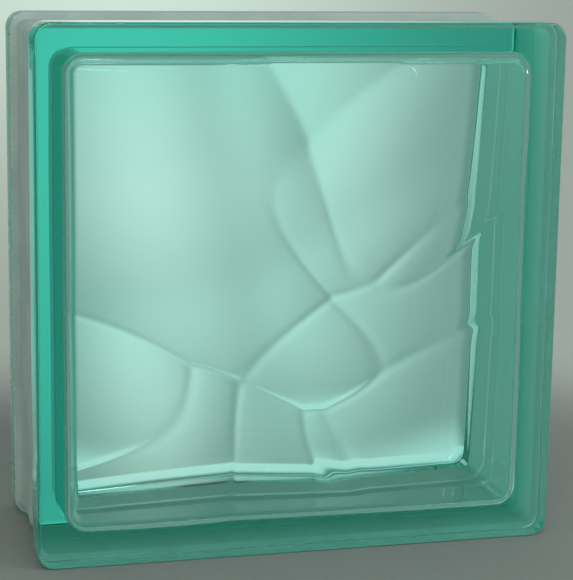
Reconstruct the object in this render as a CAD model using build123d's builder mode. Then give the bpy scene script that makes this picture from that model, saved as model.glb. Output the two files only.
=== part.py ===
"""Hollow glass block, 190 x 190 x 80 mm, pressed as two half blocks and fused at mid depth.

Millimetres, +Z up, the front face towards -Y. The origin is the middle of the
underside, on the floor that the block stands on.
"""
import os
from math import atan, cos, degrees, radians, sin

import numpy as np
from build123d import *

# Outside of the block
FACE_SIZE = 190.0          # side of the square face
BLOCK_DEPTH = 80.0         # front face to rear face
FACE_CORNER_R = 6.0        # corner of the face, in the plane of the face
FACE_EDGE_R = 1.0          # rounding where face and side meet

# Mortar channel between the two lips
LIP_DEPTH = 14.0           # side of the lip, measured from the face
CHANNEL_RECESS = 2.5       # channel floor behind the side of the lips
SHOULDER_RUN = 1.2         # the shoulder slopes this much from lip to channel floor
WELD_BEAD_RISE = 0.5       # bead squeezed out along the seam, outside
WELD_BEAD_HALF_WIDTH = 2.0

# Cavity
CAVITY_SEAM_SIZE = 170.0   # clear width just inside the weld
CAVITY_DRAFT_DEG = 1.5     # draft of the walls towards the pane
CAVITY_CORNER_R = 8.0      # corner of the cavity at the seam
CAVITY_BEVEL = 2.6         # between wall and pane, as deep as a 4.5 mm fillet
WELD_SWELL_RISE = 0.7      # swelling of the inner wall along the seam
WELD_SWELL_HALF_WIDTH = 4.5

# Wave relief on the inner side of each pane. A dish is (x, z, floor, turn, along, across):
# its centre seen from the front, measured from the block's centre, the thickness left at
# its floor, the turn of its long axis in degrees, and its radii of curvature along and
# across that axis. The surface is the deepest dish at each point, and the ridges between
# the dishes are rounded.
RIDGE_SOFTNESS = 0.3       # larger rounds the ridges more
GRID_STEPS = 24            # spacing of the points that carry the surface
FRONT_DISHES = [
    (-45.0, 26.0, 6.7, -48.0, 711.0, 318.0),
    (-51.0, -58.0, 7.2, -62.0, 594.0, 185.0),
    (-56.0, -91.0, 5.9, 73.0, 654.0, 164.0),
    (19.0, -98.0, 7.6, -43.0, 1826.0, 241.0),
    (27.0, -31.0, 8.7, -19.0, 2231.0, 197.0),
    (-17.5, 29.5, 8.2, -22.0, 1781.0, 129.0),
    (72.0, 58.5, 5.5, 37.0, 854.0, 186.0),
    (137.0, -48.0, 6.2, 79.0, 20000.0, 2321.0),
    (83.0, -48.5, 5.8, 41.0, 2712.0, 415.0),
    (36.5, -85.0, 6.8, -47.0, 476.0, 114.0),
    (77.0, 58.0, 5.9, 53.0, 895.0, 93.0),
]
REAR_DISHES = [
    (-40.0, 22.0, 6.9, 0.0, 400.0, 400.0),
    (28.0, 48.0, 7.0, 60.0, 600.0, 300.0),
    (-30.0, -52.0, 7.0, 0.0, 400.0, 400.0),
    (44.0, -20.0, 7.0, 60.0, 600.0, 300.0),
]

HALF_DEPTH = BLOCK_DEPTH / 2
CENTRE_HEIGHT = FACE_SIZE / 2
CHANNEL_SIZE = FACE_SIZE - 2 * CHANNEL_RECESS
CHANNEL_CORNER_R = FACE_CORNER_R - CHANNEL_RECESS
SHOULDER_START = HALF_DEPTH - LIP_DEPTH - SHOULDER_RUN
SHOULDER_DEG = degrees(atan(CHANNEL_RECESS / SHOULDER_RUN))
BEAD_DEG = degrees(atan(WELD_BEAD_RISE / WELD_BEAD_HALF_WIDTH))
SWELL_DEG = degrees(atan(WELD_SWELL_RISE / WELD_SWELL_HALF_WIDTH))

# Each half is drawn on the seam, looking out through its own face
FRONT_SEAM = Plane(origin=(0, 0, CENTRE_HEIGHT), x_dir=(1, 0, 0), z_dir=(0, -1, 0))
REAR_SEAM = Plane(origin=(0, 0, CENTRE_HEIGHT), x_dir=(-1, 0, 0), z_dir=(0, 1, 0))


def pane_thickness(x, z, dishes):
    """Thickness left at (x, z): the smooth minimum of all dishes at that point."""
    depths = []
    for cx, cz, floor, turn, along, across in dishes:
        c, s = cos(radians(turn)), sin(radians(turn))
        a = (x - cx) * c + (z - cz) * s
        b = (z - cz) * c - (x - cx) * s
        depths.append(floor + a * a / (2 * along) + b * b / (2 * across))
    least = min(depths)
    return least - RIDGE_SOFTNESS * np.log(sum(np.exp((least - d) / RIDGE_SOFTNESS) for d in depths))


def wave_face(seam, dishes):
    """The inner side of a pane, as one smooth face over the whole half block."""
    reach = np.linspace(-FACE_SIZE / 2, FACE_SIZE / 2, GRID_STEPS + 1)
    side = seam.x_dir.X
    rows = []
    for x in reach:
        row = []
        for z in reach:
            level = HALF_DEPTH - pane_thickness(side * x, z, dishes)
            row.append(seam.from_local_coords(Vector(x, z, level)))
        rows.append(row)
    return Face.make_surface_from_array_of_points(rows)


def press_half(seam, dishes):
    """One pressed half block: the blank with its lip and channel, less the plunger."""
    with BuildPart() as plunger:
        with BuildSketch(seam):
            RectangleRounded(
                CAVITY_SEAM_SIZE - 2 * WELD_SWELL_RISE,
                CAVITY_SEAM_SIZE - 2 * WELD_SWELL_RISE,
                CAVITY_CORNER_R - WELD_SWELL_RISE,
            )
        extrude(amount=WELD_SWELL_HALF_WIDTH, taper=-SWELL_DEG)
        with BuildSketch(seam.offset(WELD_SWELL_HALF_WIDTH)):
            RectangleRounded(CAVITY_SEAM_SIZE, CAVITY_SEAM_SIZE, CAVITY_CORNER_R)
        extrude(amount=HALF_DEPTH - WELD_SWELL_HALF_WIDTH, taper=CAVITY_DRAFT_DEG)
        split(bisect_by=wave_face(seam, dishes), keep=Keep.BOTTOM)
        relief = plunger.faces().sort_by(Axis(seam.origin, seam.z_dir))[-1]
        chamfer(relief.edges(), length=CAVITY_BEVEL)
    with BuildPart() as half:
        with BuildSketch(seam):
            RectangleRounded(
                CHANNEL_SIZE + 2 * WELD_BEAD_RISE,
                CHANNEL_SIZE + 2 * WELD_BEAD_RISE,
                CHANNEL_CORNER_R + WELD_BEAD_RISE,
            )
        extrude(amount=WELD_BEAD_HALF_WIDTH, taper=BEAD_DEG)
        with BuildSketch(seam):
            RectangleRounded(CHANNEL_SIZE, CHANNEL_SIZE, CHANNEL_CORNER_R)
        extrude(amount=SHOULDER_START)
        with BuildSketch(seam.offset(SHOULDER_START)):
            RectangleRounded(CHANNEL_SIZE, CHANNEL_SIZE, CHANNEL_CORNER_R)
        extrude(amount=SHOULDER_RUN, taper=-SHOULDER_DEG)
        with BuildSketch(seam.offset(HALF_DEPTH - LIP_DEPTH)):
            RectangleRounded(FACE_SIZE, FACE_SIZE, FACE_CORNER_R)
        extrude(amount=LIP_DEPTH)
        rim = half.faces().sort_by(Axis(seam.origin, seam.z_dir))[-1].edges()
        fillet(rim, radius=FACE_EDGE_R)
        add(plunger.part, mode=Mode.SUBTRACT)
    return half


os.makedirs("parts", exist_ok=True)

front_half = press_half(FRONT_SEAM, FRONT_DISHES)
front_half.part.label = "front_half"
export_step(front_half.part, "parts/front_half.step")

rear_half = press_half(REAR_SEAM, REAR_DISHES)
rear_half.part.label = "rear_half"
export_step(rear_half.part, "parts/rear_half.step")
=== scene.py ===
"""Hollow glass block in green pressed glass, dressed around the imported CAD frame.

Metres, +Z up, the front face towards -Y, the block standing on z = 0. Each half is a
surface computed with numpy: a section carried round a rounded square, closed by the
flat face outside and by the wave relief inside.
"""

import bpy
import numpy as np
from bpy.props import FloatProperty, FloatVectorProperty, PointerProperty
from mathutils import Matrix, Vector


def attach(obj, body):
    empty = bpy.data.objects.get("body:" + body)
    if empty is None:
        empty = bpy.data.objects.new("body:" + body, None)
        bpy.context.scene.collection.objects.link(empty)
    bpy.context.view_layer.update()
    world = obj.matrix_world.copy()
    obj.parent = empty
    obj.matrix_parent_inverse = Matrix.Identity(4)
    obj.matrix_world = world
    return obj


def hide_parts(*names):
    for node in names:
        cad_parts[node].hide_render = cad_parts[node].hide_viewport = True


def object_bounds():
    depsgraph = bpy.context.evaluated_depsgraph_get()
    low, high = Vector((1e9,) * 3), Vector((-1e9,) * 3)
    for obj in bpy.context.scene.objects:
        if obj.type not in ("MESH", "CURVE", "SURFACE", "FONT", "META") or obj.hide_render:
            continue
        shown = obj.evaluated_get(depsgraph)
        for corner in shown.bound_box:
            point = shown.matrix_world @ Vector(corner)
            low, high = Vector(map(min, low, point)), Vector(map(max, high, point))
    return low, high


bl_info = {
    "name": "Glass block",
    "version": (1, 0, 0),
    "blender": (4, 5, 0),
    "location": "3D View > Sidebar > Glass block",
    "description": "Builds the two fused halves of a glass block, their glass, and the stage",
    "category": "Object",
}

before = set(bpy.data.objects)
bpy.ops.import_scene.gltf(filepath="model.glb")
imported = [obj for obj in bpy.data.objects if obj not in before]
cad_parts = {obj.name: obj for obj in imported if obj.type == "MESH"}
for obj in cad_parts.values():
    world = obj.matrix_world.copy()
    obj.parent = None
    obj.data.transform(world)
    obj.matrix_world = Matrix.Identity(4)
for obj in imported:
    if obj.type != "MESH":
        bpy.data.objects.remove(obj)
CAD_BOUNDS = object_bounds()
FACE_SIZE = float(CAD_BOUNDS[1][0] - CAD_BOUNDS[0][0])
BLOCK_DEPTH = float(CAD_BOUNDS[1][1] - CAD_BOUNDS[0][1])

MM = 0.001
SEAM_GAP = 0.01 * MM       # each half stops this far from the seam plane
SEAM_MASK = 0.03 * MM      # nearer to the seam than this, the glass is one with the other half
FLOOR_GAP = 0.2 * MM       # the floor lies this far below the block

# Number of steps along each part of the surface
GRID = 184                 # cells along the inner pane, and points along a side of a ring
HALF_ARC = 6               # of those points, the ones on half a corner
BEND_STEPS = 8
BEAD_STEPS = 8
SWELL_STEPS = 12
WALL_STEPS = 8
FILLET_STEPS = 14

# Section outside, from the face to the seam: inset from the side of the lips, distance
# from the seam, radius of the bend there. These and the sizes below are in mm.
OUTER_SECTION = [
    (1.06, 40.0, 0.0),
    (0.0, 40.0, 1.0),
    (0.0, 26.0, 0.7),
    (2.5, 24.8, 0.7),
    (2.5, 2.0, 0.0),
]
FACE_CORNER = 6.0
LEAST_CORNER = 1.0
BEAD_RISE = 0.5
BEAD_REACH = 2.0
SEAM_STEP = 0.04           # a last short step that keeps the edge at the seam crisp

# Cavity
CAVITY_HALF = 85.0
CAVITY_CORNER = 8.0
CAVITY_DRAFT = 0.026       # the tangent of 1.5 degrees
SWELL_RISE = 0.7
SWELL_REACH = 4.5
PANE_MEAN = 8.0
PANE_FILLET = 4.5

# Wave relief of each pane. A dish is (x, z, floor, turn, along, across): its centre seen
# from the front, measured from the middle of the block, the thickness left at its floor,
# the turn of its long axis in degrees, and its radii of curvature along and across that
# axis. The ridges between the dishes are their softness and the rise of their crests.
FRONT_RIDGES = (0.12, 0.25)
FRONT_DISHES = [
    (-45.0, 26.0, 6.7, -48.0, 711.0, 318.0),
    (-51.0, -58.0, 7.2, -62.0, 594.0, 185.0),
    (-56.0, -91.0, 5.9, 73.0, 654.0, 164.0),
    (19.0, -98.0, 7.6, -43.0, 1826.0, 241.0),
    (27.0, -31.0, 8.7, -19.0, 2231.0, 197.0),
    (-17.5, 29.5, 8.2, -22.0, 1781.0, 129.0),
    (72.0, 58.5, 5.5, 37.0, 854.0, 186.0),
    (137.0, -48.0, 6.2, 79.0, 20000.0, 2321.0),
    (83.0, -48.5, 5.8, 41.0, 2712.0, 415.0),
    (36.5, -85.0, 6.8, -47.0, 476.0, 114.0),
    (77.0, 58.0, 5.9, 53.0, 895.0, 93.0),
]
REAR_RIDGES = (0.9, 0.0)
REAR_DISHES = [
    (-40.0, 22.0, 6.9, 0.0, 400.0, 400.0),
    (28.0, 48.0, 7.0, 60.0, 600.0, 300.0),
    (-30.0, -52.0, 7.0, 0.0, 400.0, 400.0),
    (44.0, -20.0, 7.0, 60.0, 600.0, 300.0),
]
CREST_SOFTNESS = 0.08
CREST_END = 45.0           # above this height there are no crests
CREST_FADE = 35.0          # over this height below it they grow to their full rise

# Paint on the glass: where it begins and is full, in metres from the middle of the block
PAINT_OUT = (0.0884, 0.0886)
PAINT_END = (0.0258, 0.0262)
# Where the painted shade on the paint at the left shoulder begins and is full
GROOVE_SHADE_OUT = (-0.0924, -0.0930)
REAR_LIP_START = (0.0244, 0.0250)
REAR_LIP_END = (0.0388, 0.0392)
REAR_LIP_LEFT = (-0.0915, -0.0925)
REAR_LIP_TOP = (0.0930, 0.0940)
PAINT_WANDER = 0.0002      # the edge of the paint wanders by up to this

# Paint colours, the darker and the lighter of a cloudy pair where there are two
# The paint's own colour, as seen from outside
OUTSIDE_PAINT = ((0.50, 0.53, 0.52), (0.60, 0.62, 0.60))
# The paint seen from inside the glass: a lighter, greener copy of it, painted light on the walls
# inside the block
PAINT_INSIDE_PAINTED_LIGHT = ((0.48, 0.80, 0.70), (0.54, 0.86, 0.76))
# Dark green for the paint at the left shoulder seen from inside: painted shade
GROOVE_PAINTED_SHADE = (0.04, 0.24, 0.18)
PAINT_GLOW = (0.55, 0.80, 0.70)
GLOW_SHARE = 0.34          # share of the light that the paint lets through

# The wall and ground that the camera sees
WALL_SPOT = (0.17, 0.984, 0.03)
WALL_BRIGHT = (0.70, 0.87, 0.77)
WALL_GREY = (0.335, 0.385, 0.348)
GROUND_GREY = (0.21, 0.228, 0.208)

# The same surroundings as they are met through glass, and in mirrors
BRIGHT_MIDDLE = (0.80, 0.92, 0.82)
BESIDE_MIDDLE = (0.36, 0.43, 0.38)
FAR_FROM_MIDDLE = (0.27, 0.33, 0.29)
BELOW = (0.76, 0.91, 0.83)
STRAIGHT_BELOW = (0.18, 0.29, 0.25)
REAR_LEFT = (0.36, 0.44, 0.40)
FRONT_AND_ABOVE = (0.88, 1.0, 0.94)
MIRROR_LEFT = (0.08, 0.36, 0.29)
WORLD_LIGHT = (0.95, 1.0, 0.97)

FLOOR_RADIUS = 1.2
FLOOR_FADE = (0.15, 0.34)  # distances over which the floor fades into the ground colour

LAMPS = [("window_left", -14, 43, 45), ("window_right", 47, 22, -45)]
LAMP_SIZE = (0.84, 0.14)
LAMP_DISTANCE = 1.2
LAMP_COLOUR = (0.9, 1.0, 1.0)

CAMERA_LENS = 117.42
CAMERA_PLACE = (-0.17564, -0.66938, 0.22419)
CAMERA_RIGHT = (0.9665699, -0.25594838, 0.01526597)
CAMERA_DOWN = (-0.03459982, -0.18919479, -0.9813298)
CAMERA_FORWARD = (0.25405801, 0.94799565, -0.19172575)


def pane_thickness(x, z, dishes, ridges):
    """Thickness in mm at (x, z): the smooth minimum of the dishes plus the ridge crests.

    A dish is its floor plus half the squared distance along over the radius along, plus
    half the squared distance across over the radius across. The share of a dish is the
    softmax of minus its depth, and a crest is twice the chance that two draws by share
    differ, times its rise: none inside a dish and full where two are level.
    """
    depths = []
    for cx, cz, floor, turn, along, across in dishes:
        c, s = np.cos(np.radians(turn)), np.sin(np.radians(turn))
        a = (x - cx) * c + (z - cz) * s
        b = (z - cz) * c - (x - cx) * s
        depths.append(floor + a * a / (2 * along) + b * b / (2 * across))
    depths = np.stack(depths)
    least = depths.min(axis=0)
    softness, rise = ridges
    spread = np.exp((least - depths) / softness).sum(axis=0)
    share = np.exp((least - depths) / CREST_SOFTNESS)
    share = share / share.sum(axis=0)
    fade = np.clip((CREST_END - z) / CREST_FADE, 0, 1)
    crest = 2 * rise * (1 - (share * share).sum(axis=0)) * fade
    return least - softness * np.log(spread) + crest


def rounded_line(points, steps=BEND_STEPS):
    """A polyline with its corners rounded: each corner becomes the arc of its radius,
    tangent to both runs, sampled evenly in angle."""
    out = [np.array(points[0][:2])]
    for before, corner, after in zip(points, points[1:], points[2:]):
        p, radius = np.array(corner[:2]), corner[2]
        if radius <= 0:
            out.append(p)
            continue
        u = np.array(before[:2]) - p
        v = np.array(after[:2]) - p
        u, v = u / np.linalg.norm(u), v / np.linalg.norm(v)
        half = np.arccos(np.clip(u @ v, -1, 1)) / 2
        centre = p + (u + v) / np.linalg.norm(u + v) * radius / np.sin(half)
        first = p + u * radius / np.tan(half) - centre
        last = p + v * radius / np.tan(half) - centre
        sweep = np.arccos(np.clip(first @ last / radius**2, -1, 1))
        t = np.linspace(0, 1, steps + 1)[:, None]
        arc = np.sin((1 - t) * sweep) * first + np.sin(t * sweep) * last
        out.extend(centre + arc / np.sin(sweep))
    out.append(np.array(points[-1][:2]))
    return np.array(out)


def outer_section():
    """Section outside, as inset and distance from the seam: the rounded line of the lip
    and channel, then the weld bead as half a wave of a cosine, down to the seam."""
    outer = rounded_line(OUTER_SECTION)
    t = np.linspace(0, 1, BEAD_STEPS + 1)[1:]
    bead = np.stack([
        OUTER_SECTION[-1][0] - BEAD_RISE * (1 - np.cos(np.pi * t)) / 2,
        BEAD_REACH * (1 - t),
    ], axis=1)
    bead[-1, 1] = SEAM_GAP / MM
    outer = np.concatenate([outer, bead[:-1], bead[-1:] + [[0, SEAM_STEP]], bead[-1:]])
    apart = np.abs(np.diff(outer, axis=0)).sum(axis=1) > 1e-6
    return outer[np.r_[True, apart]]


def swell_section():
    """Half widths and distances from the seam over the weld swelling inside, which is
    half a wave of a cosine."""
    t = np.linspace(0, 1, SWELL_STEPS + 1)
    half = CAVITY_HALF - SWELL_RISE * (1 + np.cos(np.pi * t)) / 2
    depth = SWELL_REACH * t
    depth[0] = SEAM_GAP / MM
    return np.insert(half, 1, half[0]), np.insert(depth, 1, SEAM_GAP / MM + SEAM_STEP)


def square_ring(half, radius):
    """Points of a rounded square, one row for each half width and corner radius: each side
    runs from the middle of one corner arc to the middle of the next."""
    half, radius = np.atleast_1d(half)[:, None], np.atleast_1d(radius)[:, None]
    arc = np.linspace(0, np.pi / 4, HALF_ARC + 1)
    run = np.linspace(-1, 1, GRID - 2 * HALF_ARC + 1)[1:-1]
    core = half - radius
    a = np.concatenate([
        core + radius * np.cos(arc - np.pi / 4),
        half + 0 * run,
        core + radius * np.cos(arc[:-1]),
    ], axis=1)
    b = np.concatenate([
        -core + radius * np.sin(arc - np.pi / 4),
        core * run,
        core + radius * np.sin(arc[:-1]),
    ], axis=1)
    x = np.concatenate([a, -b, -a, b], axis=1)
    z = np.concatenate([b, a, -b, -a], axis=1)
    return x, z


def cavity_ring(half):
    """A ring of the cavity, whose corner shrinks as much as its half width."""
    return square_ring(half, CAVITY_CORNER - (CAVITY_HALF - half))


def shell_rings(dishes, ridges):
    """Rings of one half as x, z and distance from the seam, one row for each ring: the
    face's rim, lip, channel and seam, then the inner wall, which narrows evenly by its
    draft, and its fillet, a quarter circle that ends on the relief."""
    depth_half = BLOCK_DEPTH / 2 / MM
    outer = outer_section()
    half_swell, depth_swell = swell_section()
    wall_end = depth_half - PANE_MEAN - PANE_FILLET
    half_end = CAVITY_HALF - CAVITY_DRAFT * (wall_end - SWELL_REACH)
    share = np.linspace(0, 1, WALL_STEPS + 1)[1:-1]
    turn = np.linspace(0, np.pi / 2, FILLET_STEPS + 1)

    corner = np.maximum(FACE_CORNER - outer[:, 0], LEAST_CORNER)
    x_outer, z_outer = square_ring(FACE_SIZE / 2 / MM - outer[:, 0], corner)
    x_swell, z_swell = cavity_ring(half_swell)
    x_wall, z_wall = cavity_ring(CAVITY_HALF + (half_end - CAVITY_HALF) * share)
    x_fillet, z_fillet = cavity_ring(half_end - PANE_FILLET * (1 - np.cos(turn)))

    level = depth_half - pane_thickness(x_fillet, z_fillet, dishes, ridges)
    d_fillet = level - PANE_FILLET * (1 - np.sin(turn))[:, None]
    d_wall = SWELL_REACH + (d_fillet[0][None, :] - SWELL_REACH) * share[:, None]
    ones = np.ones(4 * GRID)
    x = np.concatenate([x_outer, x_swell, x_wall, x_fillet])
    z = np.concatenate([z_outer, z_swell, z_wall, z_fillet])
    d = np.concatenate([outer[:, 1:] * ones, depth_swell[:, None] * ones, d_wall, d_fillet])
    return x, z, d


def fill_ring(low, high, left, right):
    """Points inside a patch: at every step each is blended linearly between the four
    sides, less the same blend of the four corners."""
    u = ((low[:, 0] - low[0, 0]) / (low[-1, 0] - low[0, 0]))[:, None, None]
    v = ((left[:, 1] - left[0, 1]) / (left[-1, 1] - left[0, 1]))[None, :, None]
    sides = (1 - v) * low[:, None] + v * high[:, None] + (1 - u) * left[None] + u * right[None]
    corners = (
        (1 - u) * (1 - v) * low[0] + u * (1 - v) * low[-1]
        + (1 - u) * v * high[0] + u * v * high[-1]
    )
    return (sides - corners)[1:-1, 1:-1].reshape(-1, 2)


def half_shell(dishes, ridges, side):
    """One half block as vertices, quads and the many-sided face: the rings, joined by
    strips of quads, then the relief as a grid that fills the last ring. side is -1 for
    the front, 1 for the rear."""
    x, z, d = shell_rings(dishes, ridges)
    rings = len(x)
    ring_points = np.stack([x, side * d, z], axis=-1).reshape(-1, 3)
    last = np.arange((rings - 1) * 4 * GRID, rings * 4 * GRID)
    grid = np.zeros((GRID + 1, GRID + 1), int)
    grid[GRID, :] = last[0:GRID + 1]
    grid[::-1, GRID] = last[GRID:2 * GRID + 1]
    grid[0, ::-1] = last[2 * GRID:3 * GRID + 1]
    grid[:, 0] = np.append(last[3 * GRID:], last[0])
    edge = ring_points[:, [0, 2]]
    flat = fill_ring(edge[grid[:, 0]], edge[grid[:, GRID]], edge[grid[0, :]], edge[grid[GRID, :]])
    level = BLOCK_DEPTH / 2 / MM - pane_thickness(flat[:, 0], flat[:, 1], dishes, ridges)
    inner_points = np.stack([flat[:, 0], side * level, flat[:, 1]], axis=1)
    inner_numbers = len(ring_points) + np.arange(len(flat))
    grid[1:-1, 1:-1] = inner_numbers.reshape(GRID - 1, GRID - 1)

    points = np.concatenate([ring_points, inner_points]) * MM
    points[:, 2] += FACE_SIZE / 2
    face = np.arange(4 * GRID)
    strips = ring_quads(rings, 4 * GRID)
    relief = np.stack([grid[:-1, :-1], grid[:-1, 1:], grid[1:, 1:], grid[1:, :-1]], axis=-1)
    quads = np.concatenate([strips, relief.reshape(-1, 4)])
    if side > 0:
        quads, face = quads[:, ::-1], face[::-1]
    return points, quads, face


def ring_quads(rings, count):
    """Quads between neighbouring rings of count points each."""
    row = np.arange(count)
    step = (row + 1) % count
    base = (np.arange(rings - 1) * count)[:, None]
    quads = [base + row, base + count + row, base + count + step, base + step]
    return np.stack(quads, axis=-1).reshape(-1, 4)


def floor_disc(rings=24, spokes=96):
    """A flat disc of rings: the radius of the disc times the ring's share to the power
    1.5, round the spokes."""
    r = FLOOR_RADIUS * np.linspace(0, 1, rings + 1)[1:] ** 1.5
    a = np.linspace(0, 2 * np.pi, spokes, endpoint=False)
    level = np.full((rings, spokes), -FLOOR_GAP)
    points = np.stack([np.outer(r, np.cos(a)), np.outer(r, np.sin(a)), level], axis=-1)
    return points.reshape(-1, 3), ring_quads(rings, spokes), np.arange(spokes)


def make_mesh(name, points, quads, face):
    """A smooth mesh object at the origin from points, quads and one many-sided face."""
    mesh = bpy.data.meshes.new(name)
    mesh.from_pydata(points.tolist(), [], quads.tolist() + [face.tolist()])
    mesh.update()
    mesh.polygons.foreach_set("use_smooth", np.ones(len(mesh.polygons), bool))
    mesh.update()
    piece = bpy.data.objects.new(name, mesh)
    bpy.context.scene.collection.objects.link(piece)
    return piece


class Value:
    """A shader socket that Python operators turn into Math nodes."""

    def __init__(self, nodes, socket):
        self.nodes = nodes
        self.socket = socket

    def math(self, operation, *others):
        return self.nodes.add("ShaderNodeMath", {"operation": operation}, [self, *others])

    def __add__(self, other):
        return self.math("ADD", other)

    def __sub__(self, other):
        return self.math("SUBTRACT", other)

    def __rsub__(self, other):
        return self.nodes.add("ShaderNodeMath", {"operation": "SUBTRACT"}, [other, self])

    def __mul__(self, other):
        return self.math("MULTIPLY", other)

    __rmul__ = __mul__

    def __abs__(self):
        return self.math("ABSOLUTE")

    def larger(self, other):
        return self.math("MAXIMUM", other)

    def ramp(self, start, end, low=0.0, high=1.0):
        """Smooth step from low at start to high at end."""
        settings = {"interpolation_type": "SMOOTHSTEP"}
        inputs = {
            "Value": self, "From Min": start, "From Max": end, "To Min": low, "To Max": high,
        }
        return self.nodes.add("ShaderNodeMapRange", settings, inputs, "Result")


class Nodes:
    """The node tree of a material or the world, empty but for what is added."""

    def __init__(self, owner):
        owner.use_nodes = True
        self.tree = owner.node_tree
        self.tree.nodes.clear()

    def add(self, kind, settings=None, inputs=None, output=0):
        """A node of this kind, its settings first, then values or links for its sockets."""
        node = self.tree.nodes.new(kind)
        for key, value in (settings or {}).items():
            setattr(node, key, value)
        pairs = inputs.items() if isinstance(inputs, dict) else enumerate(inputs or [])
        for key, value in pairs:
            if isinstance(value, Value):
                self.tree.links.new(value.socket, node.inputs[key])
            else:
                node.inputs[key].default_value = value
        if not len(node.outputs):
            return node
        return Value(self, node.outputs[output])

    def split(self, vector):
        """The three parts of a vector."""
        first = self.add("ShaderNodeSeparateXYZ", {}, [vector])
        return [Value(self, socket) for socket in first.socket.node.outputs]

    def noise(self, vector, scale, detail):
        inputs = {"Vector": vector, "Scale": scale, "Detail": detail}
        return self.add("ShaderNodeTexNoise", {}, inputs)

    def ray(self, kind):
        """1 for rays of this kind, otherwise 0."""
        return self.add("ShaderNodeLightPath", output=kind)

    def blend(self, share, first, second):
        """Colour blend of first and second by share. A colour is a tuple or a Value."""
        first, second = (c if isinstance(c, Value) else (*c, 1.0) for c in (first, second))
        inputs = {0: share, 6: first, 7: second}
        return self.add("ShaderNodeMix", {"data_type": "RGBA"}, inputs, 2)


def paint_masks(nodes, centred, grain, cloud, behind, rear_paint):
    """Where the channel and the rear lip are painted, and where painted shade darkens the paint
    at the left shoulder.
    """
    x, y, z = nodes.split(centred)
    out = abs(x).larger(abs(z))
    depth = abs(y)
    channel = out.ramp(*PAINT_OUT) * (depth + PAINT_WANDER * cloud).ramp(*PAINT_END, 1.0, 0.0)
    lip = depth.ramp(*REAR_LIP_START) * depth.ramp(*REAR_LIP_END, 1.0, 0.0) * rear_paint
    # Seen from inside, the rear lip's left side takes the full cover of the paint instead of the
    # speckle, so the lighter inside copy shows there as a strip of painted light
    speckle = grain.ramp(0.40, 0.55).larger(behind) * x.ramp(*REAR_LIP_LEFT) * lip
    paint = channel.larger(speckle).larger(z.ramp(*REAR_LIP_TOP) * lip)
    # Mask of the painted shade at the left shoulder, which darkens the paint seen from inside
    shoulder_shade = x.ramp(*GROOVE_SHADE_OUT) * depth.ramp(*PAINT_END, 1.0, 0.0)
    seam = depth.math("LESS_THAN", SEAM_MASK)
    return paint, shoulder_shade, seam


def pressed_glass(name, absorption, strength, rear_paint):
    """Fire polished glass coloured through, painted in the mortar channel and, by
    rear_paint, on the rear lip, clear at the seam."""
    material = bpy.data.materials.new(name)
    nodes = Nodes(material)
    place = nodes.add("ShaderNodeTexCoord", output=3)
    to_middle = {"Vector": place, "Location": (0, 0, -FACE_SIZE / 2)}
    centred = nodes.add("ShaderNodeMapping", {}, to_middle)
    grain = nodes.noise(centred, 900.0, 3.0)
    cloud = nodes.noise(centred, 60.0, 2.0)
    behind = nodes.add("ShaderNodeNewGeometry", output="Backfacing")
    paint, shoulder_shade, seam = paint_masks(nodes, centred, grain, cloud, behind, rear_paint)

    glass = nodes.add("ShaderNodeBsdfPrincipled", {}, {
        "Base Color": (1.0, 1.0, 1.0, 1.0),
        "Roughness": 0.0,
        "IOR": 1.52,
        "Transmission Weight": 1.0,
    })
    patches = cloud.ramp(0.3, 0.7)
    outside = nodes.blend(patches, *OUTSIDE_PAINT)
    # Seen from inside the glass, the paint takes its lighter, greener copy, which is painted
    # light, and at the left shoulder a dark green, which is painted shade
    inside = nodes.blend(shoulder_shade, nodes.blend(patches, *PAINT_INSIDE_PAINTED_LIGHT), GROOVE_PAINTED_SHADE)
    coat = nodes.add("ShaderNodeBsdfPrincipled", {}, {
        "Base Color": nodes.blend(behind, outside, inside),
        "Roughness": 0.85,
        "Specular IOR Level": 0.3,
        "Normal": nodes.add("ShaderNodeBump", {}, {
            "Strength": 0.5, "Distance": 0.0002, "Height": grain,
        }),
    })
    glow = nodes.add("ShaderNodeBsdfTranslucent", {}, [(*PAINT_GLOW, 1.0)])
    coat = nodes.add("ShaderNodeMixShader", {}, [GLOW_SHARE, coat, glow])
    painted = nodes.add("ShaderNodeMixShader", {}, [paint, glass, coat])
    clear = nodes.add("ShaderNodeBsdfTransparent")
    surface = nodes.add("ShaderNodeMixShader", {}, [seam, painted, clear])
    colour = [1 - k / max(absorption) for k in absorption]
    body = nodes.add("ShaderNodeVolumeAbsorption", {}, {
        "Color": (*colour, 1.0), "Density": strength * max(absorption),
    })
    nodes.add("ShaderNodeOutputMaterial", {}, {"Surface": surface, "Volume": body})
    return material


class BlockSizes(bpy.types.PropertyGroup):
    """Colour of the glass and cover of its paint."""

    absorption: FloatVectorProperty(
        name="Absorption",
        description="Light lost per metre of glass in red, green and blue",
        default=(35.0, 5.9, 8.2),
        size=3,
    )
    front_strength: FloatProperty(
        name="Front strength", description="Share of the colour in the front half", default=1.0,
    )
    rear_strength: FloatProperty(
        name="Rear strength", description="Share of the colour in the rear half", default=1.0,
    )
    rear_paint: FloatProperty(
        name="Rear lip paint", description="Cover of the paint on the rear lip", default=0.9,
    )


class StageSettings(bpy.types.PropertyGroup):
    """Floor, lamps and world."""

    floor_colour: FloatVectorProperty(
        name="Floor",
        description="Colour of the floor",
        subtype="COLOR",
        default=(0.25, 0.265, 0.25),
    )
    window_power: FloatProperty(
        name="Windows", description="Power of each window lamp", unit="POWER", default=4.0,
    )
    world_light: FloatProperty(
        name="World light", description="Strength of the soft light all round", default=0.5,
    )


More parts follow.
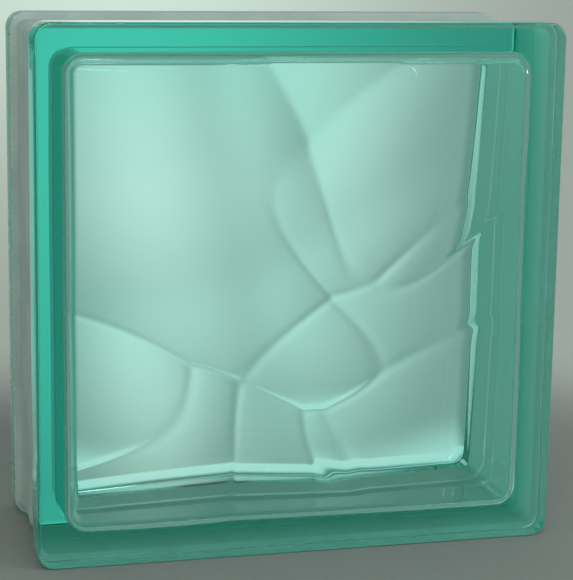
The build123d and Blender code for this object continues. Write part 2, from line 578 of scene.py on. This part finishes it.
class GLASSBLOCK_OT_front(bpy.types.Operator):
    """Front half, which stands for the CAD node front_half"""

    bl_idname = "glassblock.front"
    bl_label = "Front half"

    def execute(self, context):
        sizes = context.scene.block_sizes
        piece = make_mesh("front_half_glass", *half_shell(FRONT_DISHES, FRONT_RIDGES, -1))
        piece.data.materials.append(
            pressed_glass("front_glass", tuple(sizes.absorption), sizes.front_strength, 0.0)
        )
        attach(piece, "root")
        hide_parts("front_half")
        return {"FINISHED"}


class GLASSBLOCK_OT_rear(bpy.types.Operator):
    """Rear half, which stands for the CAD node rear_half"""

    bl_idname = "glassblock.rear"
    bl_label = "Rear half"

    def execute(self, context):
        sizes = context.scene.block_sizes
        piece = make_mesh("rear_half_glass", *half_shell(REAR_DISHES, REAR_RIDGES, 1))
        glass = pressed_glass(
            "rear_glass", tuple(sizes.absorption), sizes.rear_strength, sizes.rear_paint
        )
        piece.data.materials.append(glass)
        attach(piece, "root")
        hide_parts("rear_half")
        return {"FINISHED"}


def look_matrix(place, right, down, forward):
    """Camera matrix from its place and its right, down and forward directions."""
    right, up, back = Vector(right), -Vector(down), -Vector(forward)
    turn = Matrix((right, up, back)).transposed().to_4x4()
    return Matrix.Translation(place) @ turn


def make_camera(scene):
    """The camera that was solved from the outlines of the block in the photograph."""
    data = bpy.data.cameras.new("camera")
    data.lens = CAMERA_LENS
    data.clip_start = 0.01
    camera = bpy.data.objects.new("camera", data)
    scene.collection.objects.link(camera)
    camera.matrix_world = look_matrix(CAMERA_PLACE, CAMERA_RIGHT, CAMERA_DOWN, CAMERA_FORWARD)
    scene.camera = camera


def make_lamp(name, turn, rise, roll, power):
    """A long lamp that shines at the middle of the block, turn degrees right of straight
    in front of it, rise degrees up and rolled by roll degrees."""
    turn, rise, roll = np.radians((turn, rise, roll)).tolist()
    way = Vector((np.sin(turn) * np.cos(rise), -np.cos(turn) * np.cos(rise), np.sin(rise)))
    across = Vector((np.cos(turn), np.sin(turn), 0))
    up = way.cross(across)
    up = up if up.z > 0 else -up
    right = across * float(np.cos(roll)) + up * float(np.sin(roll))
    data = bpy.data.lights.new(name, "AREA")
    data.shape = "RECTANGLE"
    data.size, data.size_y = LAMP_SIZE
    data.energy = power
    data.color = LAMP_COLOUR
    lamp = bpy.data.objects.new(name, data)
    bpy.context.scene.collection.objects.link(lamp)
    place = Vector((0, 0, FACE_SIZE / 2)) + LAMP_DISTANCE * way
    lamp.matrix_world = look_matrix(place, right, right.cross(way), -way)


def make_world(strength):
    """Soft light all round. The camera sees a wall that is bright at one place and grey
    elsewhere, above grey ground. Glass shows the same wall stretched downwards, with more
    light from the front, from above and from below, and mirrors show its dark left."""
    world = bpy.data.worlds.new("studio")
    bpy.context.scene.world = world
    nodes = Nodes(world)
    way = nodes.add("ShaderNodeTexCoord", output=0)
    x, y, z = nodes.split(way)

    off = nodes.add("ShaderNodeVectorMath", {"operation": "DISTANCE"}, [way, WALL_SPOT], 1)
    wall = nodes.blend(off.ramp(0.0, 0.26, 1.0, 0.0), WALL_GREY, WALL_BRIGHT)
    wall = nodes.blend(z.ramp(-0.30, -0.23), GROUND_GREY, wall)

    aside = x - 0.17
    height = (0.6 * (-0.10 - z)).larger(z - 0.12).larger(0.0)
    off = (aside * aside + height * height).math("SQRT")
    through = nodes.blend(off.ramp(0.25, 0.55), BESIDE_MIDDLE, FAR_FROM_MIDDLE)
    through = nodes.blend(off.ramp(0.0, 0.22, 1.0, 0.0), through, BRIGHT_MIDDLE)
    through = nodes.blend(z.ramp(-0.29, -0.36), through, BELOW)
    through = nodes.blend(z.ramp(-0.65, -0.85), through, STRAIGHT_BELOW)

    mirrored = nodes.blend(x.ramp(-0.06, -0.12), through, MIRROR_LEFT)
    mirrored = nodes.blend(y.ramp(0.5, 0.2), mirrored, FAR_FROM_MIDDLE)

    around = (y.ramp(0.4, 0.1) * z.ramp(-0.15, 0.0)).larger(z.ramp(0.5, 0.8))
    through = nodes.blend(x.ramp(-0.08, -0.16), through, REAR_LEFT)
    through = nodes.blend(around, through, FRONT_AND_ABOVE)

    camera, glossy, glass = (
        nodes.ray(kind) for kind in ("Is Camera Ray", "Is Glossy Ray", "Is Transmission Ray")
    )
    sight = nodes.blend(glossy, nodes.blend(camera, through, wall), mirrored)
    seen = nodes.add("ShaderNodeBackground", {}, {"Color": sight, "Strength": 1.0})
    light = nodes.add("ShaderNodeBackground", {}, {
        "Color": (*WORLD_LIGHT, 1.0), "Strength": strength,
    })
    looks = camera.larger(glossy).larger(glass)
    both = nodes.add("ShaderNodeMixShader", {}, [looks, light, seen])
    nodes.add("ShaderNodeOutputWorld", {}, {"Surface": both})


def make_floor(colour):
    """Grey floor round the block, which fades into the ground and isn't seen through glass."""
    floor = make_mesh("floor", *floor_disc())
    material = bpy.data.materials.new("floor_grey")
    nodes = Nodes(material)
    place = nodes.add("ShaderNodeTexCoord", output=3)
    far = nodes.add("ShaderNodeVectorMath", {"operation": "LENGTH"}, [place], 1)
    cloud = nodes.noise(place, 8.0, 3.0)
    darker = [0.95 * c for c in colour]
    cloth = nodes.add("ShaderNodeBsdfPrincipled", {}, {
        "Base Color": nodes.blend(cloud.ramp(0.3, 0.7), darker, colour),
        "Roughness": 0.75,
        "Specular IOR Level": 0.2,
    })
    clear = nodes.add("ShaderNodeBsdfTransparent")
    hidden = far.ramp(*FLOOR_FADE).larger(nodes.ray("Is Transmission Ray"))
    surface = nodes.add("ShaderNodeMixShader", {}, [hidden, cloth, clear])
    nodes.add("ShaderNodeOutputMaterial", {}, {"Surface": surface})
    floor.data.materials.append(material)


class GLASSBLOCK_OT_stage(bpy.types.Operator):
    """Floor, world, lamps and camera"""

    bl_idname = "glassblock.stage"
    bl_label = "Stage"

    def execute(self, context):
        stage = context.scene.stage_settings
        scene = context.scene
        scene.view_settings.view_transform = "Standard"
        scene.cycles.max_bounces = 32
        scene.cycles.transmission_bounces = 32
        scene.cycles.transparent_max_bounces = 32
        scene.cycles.glossy_bounces = 12
        make_camera(scene)
        make_floor(tuple(stage.floor_colour))
        make_world(stage.world_light)
        for name, turn, rise, roll in LAMPS:
            make_lamp(name, turn, rise, roll, stage.window_power)
        return {"FINISHED"}


class GLASSBLOCK_PT_panel(bpy.types.Panel):
    """Sizes and settings, and a button for each operator"""

    bl_label = "Glass block"
    bl_space_type = "VIEW_3D"
    bl_region_type = "UI"
    bl_category = "Glass block"

    def draw(self, context):
        layout = self.layout
        for settings in (context.scene.block_sizes, context.scene.stage_settings):
            for name in settings.__annotations__:
                layout.prop(settings, name)
        for operator in OPERATORS:
            layout.operator(operator.bl_idname)


OPERATORS = [GLASSBLOCK_OT_stage, GLASSBLOCK_OT_front, GLASSBLOCK_OT_rear]
CLASSES = [BlockSizes, StageSettings, *OPERATORS, GLASSBLOCK_PT_panel]


def register():
    for item in CLASSES:
        bpy.utils.register_class(item)
    bpy.types.Scene.block_sizes = PointerProperty(type=BlockSizes)
    bpy.types.Scene.stage_settings = PointerProperty(type=StageSettings)


def unregister():
    del bpy.types.Scene.stage_settings
    del bpy.types.Scene.block_sizes
    for item in reversed(CLASSES):
        bpy.utils.unregister_class(item)


def main():
    register()
    bpy.ops.glassblock.stage()
    bpy.ops.glassblock.front()
    bpy.ops.glassblock.rear()


if __name__ == "__main__":
    main()
